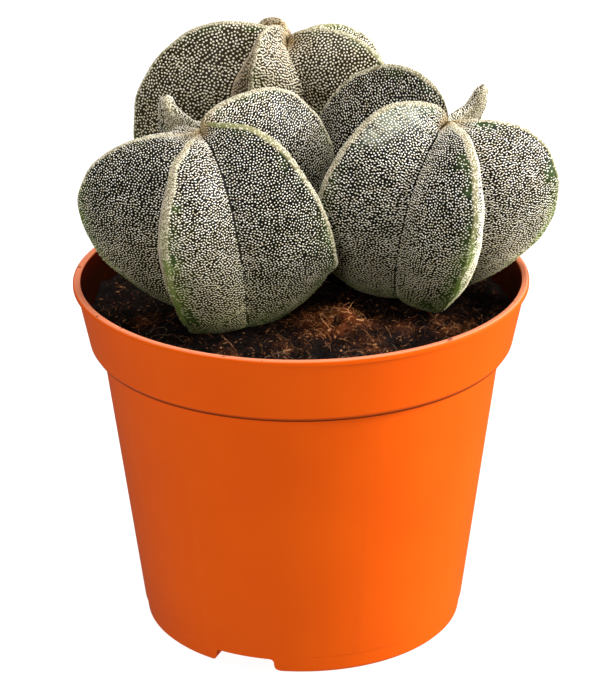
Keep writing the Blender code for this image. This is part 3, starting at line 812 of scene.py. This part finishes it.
def waxyEpidermis():
    # cactus epidermis: thick waxed cuticle, nearly black green, yellower on the crests, corky at the crown,
    # with painted shade in the seams and a painted highlight on a flank
    made, tree = newMaterial("waxyEpidermis")
    place = addNode(tree, "ShaderNodeTexCoord").outputs["Object"]
    crest = tint(tree, hexColour("#626A39"), (
        (cloudShare(tree, 160.0, 0.35, 0.65), "#827F58"),
        (vertexShare(tree, "felt", 0.2, 0.8), "#7F755A"),
        (vertexShare(tree, "tan", 0.6, 1.0), "#6A5330"),
        (vertexShare(tree, "green", 0.2, 0.8, 0.0, 0.75), "#5E7430"),
    ))
    besideCrest = product(tree, vertexShare(tree, "fromCrest", 4.0, 0.8), cloudShare(tree, 130.0, 0.48, 0.62))
    bared = product(tree, vertexShare(tree, "bare", 0.0, 0.6), cloudShare(tree, 420.0, 0.25, 0.55))
    # painted shade: the skin in the parted seams is painted near black
    slitShade = product(tree, vertexShare(tree, "offSlit", 0.12, 0.02), vertexShare(tree, "seam", 0.06, 0.1))
    colour = tint(tree, hexColour("#050402"), (
        (cloudShare(tree, 90.0, 0.35, 0.7), "#0E0D07"),
        (vertexShare(tree, "along", 0.4, 0.85, 0.0, 0.8), "#20230A"),
        (vertexShare(tree, "olive", 0.0, 1.0), "#2C2511"),
        (vertexShare(tree, "tan", 0.0, 1.0, 0.0, 0.8), "#3A2A1A"),
        (besideCrest, "#2B3A16"),
        (vertexShare(tree, "green", 0.0, 0.8, 0.0, 0.85), "#465622"),
        (bared, "#34451F"),
        # painted highlight: a pale grey-green patch stands in for the gloss of the wax
        (vertexShare(tree, "bloom", 0.0, 1.0, 0.0, 0.62), "#8C9180"),
        (vertexShare(tree, "fromCrest", 1.0, 0.6), crest),
        (vertexShare(tree, "crownGap", 4.0, 1.0), "#7A6A4A"),
        (slitShade, "#070402"),
    ))
    grain = addNode(tree, "ShaderNodeTexNoise", {"Vector": place, "Scale": 2200.0, "Detail": 2.0})
    bump = addNode(tree, "ShaderNodeBump", {
        "Strength": 0.3,
        "Distance": 0.00008,
        "Height": grain.outputs["Fac"],
    })
    shader = addNode(tree, "ShaderNodeBsdfPrincipled", {
        "Base Color": colour,
        "Roughness": cloudShare(tree, 90.0, 0.3, 0.7, 0.34, 0.5),
        "IOR": 1.45,
        "Specular IOR Level": 0.12,
        "Normal": bump.outputs["Normal"],
    })
    closeMaterial(tree, shader)
    return made


def feltedWool():
    # felted plant hair: matt, off-white, creamier and rustier at the crown and on the crests, with painted
    # shade round the foot
    made, tree = newMaterial("feltedWool")
    tone = addNode(tree, "ShaderNodeAttribute", attribute_name="tone").outputs["Fac"]
    white = addNode(tree, "ShaderNodeValToRGB", {"Fac": tone},
                    stops=((0.0, "#CFC5A8"), (0.4, "#F0E8D4"), (1.0, "#FFFDF4")))
    rusty = tint(tree, hexColour("#CFC2A2"), ((cloudShare(tree, 260.0, 0.4, 0.6, detail=2.0), "#AD8E60"),))
    colour = tint(tree, white.outputs["Color"], (
        (vertexShare(tree, "olive", 0.0, 1.0, 0.0, 0.6), "#DDD2B0"),
        (vertexShare(tree, "along", 0.4, 0.85, 0.0, 0.75), "#BAB178"),
        (vertexShare(tree, "green", 0.1, 0.9, 0.0, 0.7), "#98A468"),
        (vertexShare(tree, "tan", 0.0, 1.0, 0.0, 0.75), "#97795A"),
        (vertexShare(tree, "fromCrest", 1.4, 0.6, 0.0, 0.7), "#C9C1A6"),
        (vertexShare(tree, "along", 0.72, 0.98, 0.0, 0.7), "#4A3E22"),  # painted shade: the flecks darken round the foot, near the soil
        (vertexShare(tree, "crownGap", 7.0, 1.5), rusty),
    ))
    shader = addNode(tree, "ShaderNodeBsdfPrincipled", {
        "Base Color": colour,
        "Roughness": 0.9,
        "IOR": 1.35,
        "Specular IOR Level": 0.2,
    })
    closeMaterial(tree, shader)
    return made


def makeTuft():
    # one fleck: a low dome of five faces, a millimetre wide, which the scatter scales
    deselect()
    bpy.ops.mesh.primitive_cone_add(vertices=5, radius1=0.5, radius2=0.0, depth=0.42,
                                    end_fill_type="NOTHING")
    tuft = named("tuft")
    for vert in tuft.data.vertices:
        vert.co.z += 0.21 - 0.06
    bpy.ops.object.shade_smooth()
    return tuft


def scatter(name, target, layers):
    # each layer covers the target with grains; the target itself isn't in the result
    # pitch and size in mm, density in grains a square metre at most, twist in radians each way
    tree = bpy.data.node_groups.new(name, "GeometryNodeTree")
    for way in ("INPUT", "OUTPUT"):
        tree.interface.new_socket("Geometry", in_out=way, socket_type="NodeSocketGeometry")
    source = addNode(tree, "NodeGroupInput").outputs[0]
    join = addNode(tree, "GeometryNodeJoinGeometry")
    for number, layer in enumerate(layers):
        points = addNode(tree, "GeometryNodeDistributePointsOnFaces", {
            "Mesh": source,
            "Distance Min": layer["pitch"] * mm,
            "Density Max": layer["density"],
            "Density Factor": layer["cover"](tree),
            "Seed": layer["seed"],
        }, distribute_method="POISSON")
        turn = points.outputs["Rotation"]
        if layer.get("stroke"):
            stroke = addNode(tree, "GeometryNodeInputNamedAttribute", {"Name": "stroke"},
                             data_type="FLOAT_VECTOR").outputs["Attribute"]
            turn = addNode(tree, "FunctionNodeAlignRotationToVector", {"Rotation": turn, "Vector": stroke},
                           axis="X", pivot_axis="Z").outputs[0]
        jitter = addNode(tree, "FunctionNodeRandomValue", {
            "Min": -layer["twist"],
            "Max": layer["twist"],
            "Seed": number * 3 + 1,
        }, data_type="FLOAT").outputs[1]
        spin = addNode(tree, "FunctionNodeAxisAngleToRotation", {"Axis": (0.0, 0.0, 1.0), "Angle": jitter})
        turn = addNode(tree, "FunctionNodeRotateRotation", {"Rotation": turn, "Rotate By": spin.outputs[0]},
                       rotation_space="LOCAL").outputs[0]
        size = addNode(tree, "FunctionNodeRandomValue", {
            "Min": layer["size"][0] * mm,
            "Max": layer["size"][1] * mm,
            "Seed": number * 3 + 2,
        }, data_type="FLOAT").outputs[1]
        scale = addNode(tree, "ShaderNodeCombineXYZ", {
            "X": product(tree, size, layer["stretch"](tree) if "stretch" in layer else 1.0),
            "Y": product(tree, size, layer["slim"](tree) if "slim" in layer else 1.0),
            "Z": product(tree, size, layer.get("tall", 1.0)),
        })
        store = addNode(tree, "GeometryNodeStoreNamedAttribute", {
            "Geometry": points.outputs["Points"],
            "Name": "tone",
            "Value": addNode(tree, "FunctionNodeRandomValue", {"Seed": number * 3 + 3},
                             data_type="FLOAT").outputs[1],
        }, data_type="FLOAT", domain="POINT")
        bits = addNode(tree, "GeometryNodeJoinGeometry")
        for grain in layer["grains"]:
            info = addNode(tree, "GeometryNodeObjectInfo", {"Object": grain, "As Instance": True})
            tree.links.new(info.outputs["Geometry"], bits.inputs[0])
        placed = addNode(tree, "GeometryNodeInstanceOnPoints", {
            "Points": store.outputs[0],
            "Instance": bits.outputs[0],
            "Pick Instance": len(layer["grains"]) > 1,
            "Rotation": turn,
            "Scale": scale.outputs[0],
        })
        real = addNode(tree, "GeometryNodeRealizeInstances", {"Geometry": placed.outputs[0]})
        tree.links.new(real.outputs[0], join.inputs[0])
    addNode(tree, "NodeGroupOutput", {0: join.outputs[0]})
    pick(target)
    bpy.ops.object.duplicate()
    cover = named(name)
    modifier = cover.modifiers.new("scatter", "NODES")
    modifier.node_group = tree
    applyAll(cover)
    # the grains come in with an empty slot
    cover.data.materials.clear()
    bpy.data.node_groups.remove(tree)
    return cover


def faceCover(tree):
    # flecks off the crest bead, the seams and the bare spots
    return product(
        tree,
        vertexShare(tree, "fromCrest", 0.65, 0.95),
        vertexShare(tree, "bare", 0.0, 1.0, 1.0, 0.35),
        vertexShare(tree, "offSeam", -0.05, 0.02),
        vertexShare(tree, "green", 0.0, 1.0, 1.0, 0.82),
        vertexShare(tree, "onBody", 0.0, 1.0),
    )


def faceStretch(tree):
    return vertexShare(tree, "wool", 0.0, 1.0, 0.95, 2.3)


def faceSlim(tree):
    # where the flecks run together into lines they are narrower, so dark skin shows between the lines
    return vertexShare(tree, "wool", 0.0, 1.0, 1.0, 0.74)


def fillCover(tree):
    # a second, finer coat where the wool is dense: near furrows, at the crown and on woolly flanks
    most = vertexShare(tree, "fromFurrow", 3.0, 0.5, 0.0, 0.25)
    for other in (vertexShare(tree, "crownGap", 12.0, 4.0), vertexShare(tree, "wool", 0.0, 1.0, 0.0, 0.1)):
        most = addNode(tree, "ShaderNodeMath", {0: most, 1: other}, operation="MAXIMUM").outputs[0]
    return product(tree, most, faceCover(tree))


def crestCover(tree):
    edge = vertexShare(tree, "fromCrest", 1.0, 0.8)
    felted = vertexShare(tree, "felt", 0.1, 0.8, 0.12, 1.0)
    return product(tree, edge, felted, vertexShare(tree, "onBody", 0.0, 1.0))


skin = waxyEpidermis()
wool = feltedWool()
tuft = makeTuft()
for name, plant in plants.items():
    parts = [shapePlant(name, plant)]
    if plant["horn"]:
        parts.append(shapeHorn(name, plant))
    pitch = plant["pitch"]
    face = {
        "grains": [tuft],
        "cover": faceCover,
        "pitch": pitch,
        "density": 4e7,
        "seed": plant["seed"],
        "stroke": True,
        "twist": 0.8,
        "size": (plant["grain"][0] * pitch, plant["grain"][1] * pitch),
        "stretch": faceStretch,
        "slim": faceSlim,
    }
    fill = {
        "grains": [tuft],
        "cover": fillCover,
        "pitch": pitch,
        "density": 2.5e6,
        "seed": plant["seed"] + 1,
        "stroke": True,
        "twist": 1.0,
        "size": (0.26, 0.42),
        "stretch": faceStretch,
    }
    crest = {
        "grains": [tuft],
        "cover": crestCover,
        "pitch": 0.45,
        "density": 9e6,
        "seed": plant["seed"] + 2,
        "twist": 3.14,
        "size": (0.42, 0.66),
    }
    for part in parts:
        flecksName = part.name.replace("plant", "flecks").replace("horn", "hornFlecks")
        flecks = scatter(flecksName, part, (face, fill, crest))
        part.data.materials.append(skin)
        flecks.data.materials.append(wool)
        for piece in (part, flecks):
            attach(piece, "root")
            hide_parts(plant["node"])
            report(piece)
bpy.data.objects.remove(tuft)


peat = {
    "level": 88.0,
    "edgeDrop": 2.6,
    "lumpHeight": 2.6,
    "lumpSize": 11.0,
    "mound": (8.5, -14.0, 12.0, 2.6),  # x, y, radius, height
    # x, y, radius and strength of the rusty clumps
    "rusty": ((8.5, -14.0, 11.0, 1.0), (40.0, -17.0, 8.0, 0.7), (17.5, -31.0, 7.0, 0.4),
              (-4.0, -31.0, 7.0, 0.4), (-40.0, -10.0, 6.0, 0.4), (25.5, -20.0, 6.0, 0.5),
              (-20.0, -36.0, 7.0, 0.4)),
    "bed": 24.0,  # mm round each plant's root where the peat lies level
    "gap": 0.3,
    "cells": 150,
}


def peatRelief(x, y):
    # mm, the clods and crumbs of the surface
    p = Vector((x, y, 4.0))
    return noise.noise(p / 3.4) * 1.8 + noise.noise(p / 1.4) * 0.8


def peatHeight(x, y):
    radius = math.hypot(x, y)
    slope = max(0.0, radius / innerRadius(peat["level"]) - 0.6) / 0.4
    free = 1.0
    for plant in plants.values():
        gap = math.hypot(x - plant["root"][0], y - plant["root"][1]) - peat["bed"]
        free = min(free, max(0.0, min(1.0, gap / 6.0)))
    p = Vector((x, y, 0.0))
    lump = noise.noise(p / peat["lumpSize"])
    mx, my, size, tall = peat["mound"]
    heap = math.exp(-(math.hypot(x - mx, y - my) / size) ** 2)
    height = peat["level"] - peat["edgeDrop"] * slope + (peat["lumpHeight"] * lump + tall * heap) * free
    return height + peatRelief(x, y) * (0.35 + 0.65 * free) - 0.15


def makePeat():
    deselect()
    bpy.ops.mesh.primitive_grid_add(x_subdivisions=peat["cells"], y_subdivisions=peat["cells"], size=2.0)
    bed = named("peatBed")
    for vert in bed.data.vertices:
        u, v = vert.co.x, vert.co.y
        x, y = u * math.sqrt(1 - v * v / 2), v * math.sqrt(1 - u * u / 2)
        edge = innerRadius(86.5) - peat["gap"]
        x, y = x * edge, y * edge
        vert.co = Vector((x, y, peatHeight(x, y))) * mm
    bpy.ops.object.mode_set(mode="EDIT")
    bpy.ops.mesh.select_all(action="SELECT")
    bpy.ops.mesh.region_to_loop()
    for level in (79.5, 76.8, 6.5, 5.6):
        bpy.ops.mesh.extrude_region_move()
        work = bmesh.from_edit_mesh(bed.data)
        radius = (innerRadius(level) - peat["gap"] - (0.6 if level == 76.8 else 0)) * mm
        for vert in work.verts:
            if vert.select:
                flat = math.hypot(vert.co.x, vert.co.y)
                vert.co = Vector((vert.co.x / flat * radius, vert.co.y / flat * radius, level * mm))
        bmesh.update_edit_mesh(bed.data)
    bpy.ops.mesh.edge_face_add()
    bpy.ops.mesh.select_all(action="SELECT")
    bpy.ops.mesh.normals_make_consistent(inside=False)
    bpy.ops.object.mode_set(mode="OBJECT")
    bpy.ops.object.shade_smooth()
    cover, red, relief, wallGap = [], [], [], []
    for vert in bed.data.vertices:
        x, y, z = vert.co / mm
        under = min(math.hypot(x - p["root"][0], y - p["root"][1]) for p in plants.values())
        cover.append(1.0 if z > 82 and under > 13 else 0.0)
        red.append(max(share * math.exp(-(math.hypot(x - px, y - py) / size) ** 2)
                       for px, py, size, share in peat["rusty"]))
        relief.append(peatRelief(x, y))
        wallGap.append(innerRadius(z) - math.hypot(x, y))
    floatLayer(bed.data, "cover", cover)
    floatLayer(bed.data, "wallGap", wallGap)
    floatLayer(bed.data, "red", red)
    floatLayer(bed.data, "relief", relief)
    return bed


def milledPeat():
    # milled sphagnum peat: matt, nearly black when damp, with rusty fibres and a few tan crumbs, and painted
    # shade in its hollows
    made, tree = newMaterial("milledPeat")
    place = addNode(tree, "ShaderNodeTexCoord").outputs["Object"]
    tone = addNode(tree, "ShaderNodeAttribute", attribute_name="tone").outputs["Fac"]
    noisy = addNode(tree, "ShaderNodeTexNoise", {"Vector": place, "Scale": 700.0, "Detail": 5.0})
    fine = noisy.outputs["Fac"]
    mixed = addNode(tree, "ShaderNodeMath", {0: tone, 1: 0.75, 2: product(tree, fine, 0.35)},
                    operation="MULTIPLY_ADD").outputs[0]
    dark = addNode(tree, "ShaderNodeValToRGB", {"Fac": mixed}, stops=(
        (0.2, "#060201"), (0.5, "#190B05"), (0.68, "#381B0D"), (0.82, "#6A3C20"), (0.94, "#B07C52")))
    rusty = addNode(tree, "ShaderNodeValToRGB", {"Fac": mixed}, stops=(
        (0.15, "#2A1006"), (0.4, "#7C3E1C"), (0.6, "#B46C38"), (0.85, "#E4A46C")))
    colour = tint(tree, dark.outputs["Color"], (
        (vertexShare(tree, "red", 0.2, 0.7), rusty.outputs["Color"]),
        (cloudShare(tree, 75.0, 0.62, 0.4, 0.0, 0.6), "#0D0705"),
        # painted shade: the low places of the relief are painted nearly black
        (vertexShare(tree, "relief", 0.2, -0.6, 0.0, 0.9), "#060302"),
    ))
    bump = addNode(tree, "ShaderNodeBump", {"Strength": 0.8, "Distance": 0.0003, "Height": fine})
    shader = addNode(tree, "ShaderNodeBsdfPrincipled", {
        "Base Color": colour,
        "Roughness": 0.88,
        "IOR": 1.4,
        "Specular IOR Level": 0.15,
        "Normal": bump.outputs["Normal"],
    })
    closeMaterial(tree, shader)
    return made


def makeGrains():
    # three crumbs and three fibres, each about a millimetre across before the scatter scales it
    crumbs, fibres = [], []
    draw = random.Random(5)
    for kind, scale in (("granule", (1.0, 0.8, 0.7)), ("chip", (1.3, 0.8, 0.3)), ("lump", (1.0, 1.0, 0.9))):
        deselect()
        bpy.ops.mesh.primitive_ico_sphere_add(subdivisions=1, radius=0.5)
        grain = named(kind)
        for vert in grain.data.vertices:
            vert.co = Vector([a * b * draw.uniform(0.7, 1.25) for a, b in zip(vert.co, scale)])
        crumbs.append(grain)
    for number, (slope, curl) in enumerate(((0.1, 0.08), (0.5, 0.12), (0.9, 0.05))):
        deselect()
        bpy.ops.mesh.primitive_cylinder_add(vertices=3, radius=0.035, depth=1.0,
                                            rotation=(0, math.pi / 2, 0.0))
        fibre = named(f"fibre{number}")
        bpy.ops.object.transform_apply(rotation=True)
        bpy.ops.object.mode_set(mode="EDIT")
        for cut in (0.15, -0.2):
            bpy.ops.mesh.select_all(action="SELECT")
            bpy.ops.mesh.bisect(plane_co=(cut, 0, 0), plane_no=(1, 0, 0))
        bpy.ops.object.mode_set(mode="OBJECT")
        for vert in fibre.data.vertices:
            vert.co.z += 0.12 + slope * (vert.co.x + 0.35) - vert.co.x ** 2 * 0.5
            vert.co.y += math.sin(vert.co.x * 5) * curl
        fibres.append(fibre)
    return crumbs, fibres


def crumbCover(tree):
    return product(tree, vertexShare(tree, "cover", 0.0, 1.0), vertexShare(tree, "wallGap", 1.2, 1.5))


def fibreCover(tree):
    # fibres keep their length off the pot's wall, and lie thicker on the rusty clumps
    inside = product(tree, vertexShare(tree, "cover", 0.0, 1.0), vertexShare(tree, "wallGap", 2.0, 2.4))
    return product(tree, inside, vertexShare(tree, "red", 0.0, 1.0, 0.3, 1.0))


def crumbStretch(tree):
    return addNode(tree, "FunctionNodeRandomValue", {"Min": 0.8, "Max": 2.2, "Seed": 31},
                   data_type="FLOAT").outputs[1]


peatBed = makePeat()
floatLayer(peatBed.data, "tone", [0.2] * len(peatBed.data.vertices))
crumbs, fibres = makeGrains()
peatCrumbs = scatter("peatCrumbs", peatBed, ({
    "grains": crumbs,
    "cover": crumbCover,
    "pitch": 0.9,
    "density": 4e6,
    "seed": 3,
    "twist": 3.14,
    "size": (0.3, 1.0),
    "stretch": crumbStretch,
    "tall": 0.7,
},))
peatFibres = scatter("peatFibres", peatBed, ({
    "grains": fibres,
    "cover": fibreCover,
    "pitch": 0.55,
    "density": 5e6,
    "seed": 8,
    "twist": 3.14,
    "size": (0.8, 2.8),
},))
soilFinish = milledPeat()
for piece in (peatBed, peatCrumbs, peatFibres):
    piece.data.materials.append(soilFinish)
    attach(piece, "root")
    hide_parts("soil")
    report(piece)
for grain in crumbs + fibres:
    bpy.data.objects.remove(grain)


hairs = {
    "count": 46,
    "length": (6.0, 22.0),
    "radius": 0.04,
    "seed": 9,
    "places": ((26.0, -38.0), (-14.0, -44.0), (48.0, -18.0), (-42.0, -26.0), (44.0, -26.0)),
}


def makeHairs():
    draw = random.Random(hairs["seed"])
    data = bpy.data.curves.new("rootHairs", "CURVE")
    data.dimensions = "3D"
    data.bevel_depth = hairs["radius"] * mm
    data.bevel_resolution = 0
    data.use_fill_caps = True
    for i in range(hairs["count"]):
        cx, cy = hairs["places"][i % len(hairs["places"])]
        x, y = cx + draw.gauss(0, 7), cy + draw.gauss(0, 5)
        heading = draw.uniform(0, math.tau)
        curl = draw.uniform(-0.12, 0.12)
        steps = int(draw.uniform(*hairs["length"]))
        lift = draw.uniform(0.4, 1.4)
        points = []
        for k in range(steps):
            if math.hypot(x, y) > innerRadius(87) - 1.5:
                break
            points.append((x, y, peatHeight(x, y) + 0.5 + lift * math.sin(math.pi * k / steps)))
            heading += curl + draw.gauss(0, 0.16)
            x += math.cos(heading) * 0.8
            y += math.sin(heading) * 0.8
        if len(points) < 5:
            continue
        spline = data.splines.new("POLY")
        spline.points.add(len(points) - 1)
        for point, place in zip(spline.points, points):
            point.co = (*[p * mm for p in place], 1.0)
    obj = bpy.data.objects.new("rootHairs", data)
    bpy.context.scene.collection.objects.link(obj)
    pick(obj)
    bpy.ops.object.convert(target="MESH")
    bpy.ops.object.shade_smooth()
    return named("rootHairs")


def driedRoot():
    # dried hair roots: thin, straw-grey and matt
    made, tree = newMaterial("driedRoot")
    colour = tint(tree, hexColour("#5A4030"), ((cloudShare(tree, 300.0, 0.35, 0.65, detail=2.0), "#9A7C62"),))
    closeMaterial(tree, addNode(tree, "ShaderNodeBsdfPrincipled", {"Base Color": colour, "Roughness": 0.7}))
    return made


rootHairs = makeHairs()
rootHairs.data.materials.append(driedRoot())
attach(rootHairs, "root")
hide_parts("soil")
report(rootHairs)


studio = {
    "floorSize": 6.0,
    "floorGlow": 0.95,
    "world": 0.15,
    "target": (0.0, 0.0, 0.09),
    "lights": {
        "key": {"place": (0.95, -0.15, 0.5), "size": 0.5, "power": 18.5},
        "edge": {"place": (0.9, 0.25, 0.12), "size": 0.4, "power": 8.5},
        "top": {"place": (0.05, 0.0, 1.2), "size": 0.7, "power": 14.0},
        "fill": {"place": (-0.5, -1.2, 0.7), "size": 0.6, "power": 7.5},
    },
}


def makeStudio():
    deselect()
    bpy.ops.mesh.primitive_plane_add(size=studio["floorSize"])
    floor = named("floor")
    made, tree = newMaterial("whiteSweep")
    paper = addNode(tree, "ShaderNodeBsdfDiffuse", {"Color": hexColour("#6A6A6A")})
    glow = addNode(tree, "ShaderNodeEmission", {
        "Color": (1.0, 1.0, 1.0, 1.0),
        "Strength": studio["floorGlow"],
    })
    both = addNode(tree, "ShaderNodeAddShader", {0: paper.outputs[0], 1: glow.outputs[0]})
    closeMaterial(tree, both)
    floor.data.materials.append(made)
    # the sweep is a matt backdrop, so the plastic's gloss shows the lamps and not the paper
    floor.visible_glossy = False
    world = bpy.data.worlds.new("studio")
    bpy.context.scene.world = world
    world.use_nodes = True
    background = world.node_tree.nodes["Background"]
    background.inputs["Color"].default_value = (1.0, 1.0, 1.0, 1.0)
    background.inputs["Strength"].default_value = studio["world"]
    for name, lamp in studio["lights"].items():
        data = bpy.data.lights.new(name, "AREA")
        data.size = lamp["size"]
        data.energy = lamp["power"]
        light = bpy.data.objects.new(name, data)
        bpy.context.scene.collection.objects.link(light)
        light.location = lamp["place"]
        aim = Vector(studio["target"]) - light.location
        light.rotation_euler = aim.to_track_quat("-Z", "Y").to_euler()


makeStudio()
bpy.context.scene.view_settings.view_transform = "Standard"
bpy.context.scene.view_settings.look = "None"
print("studio set")
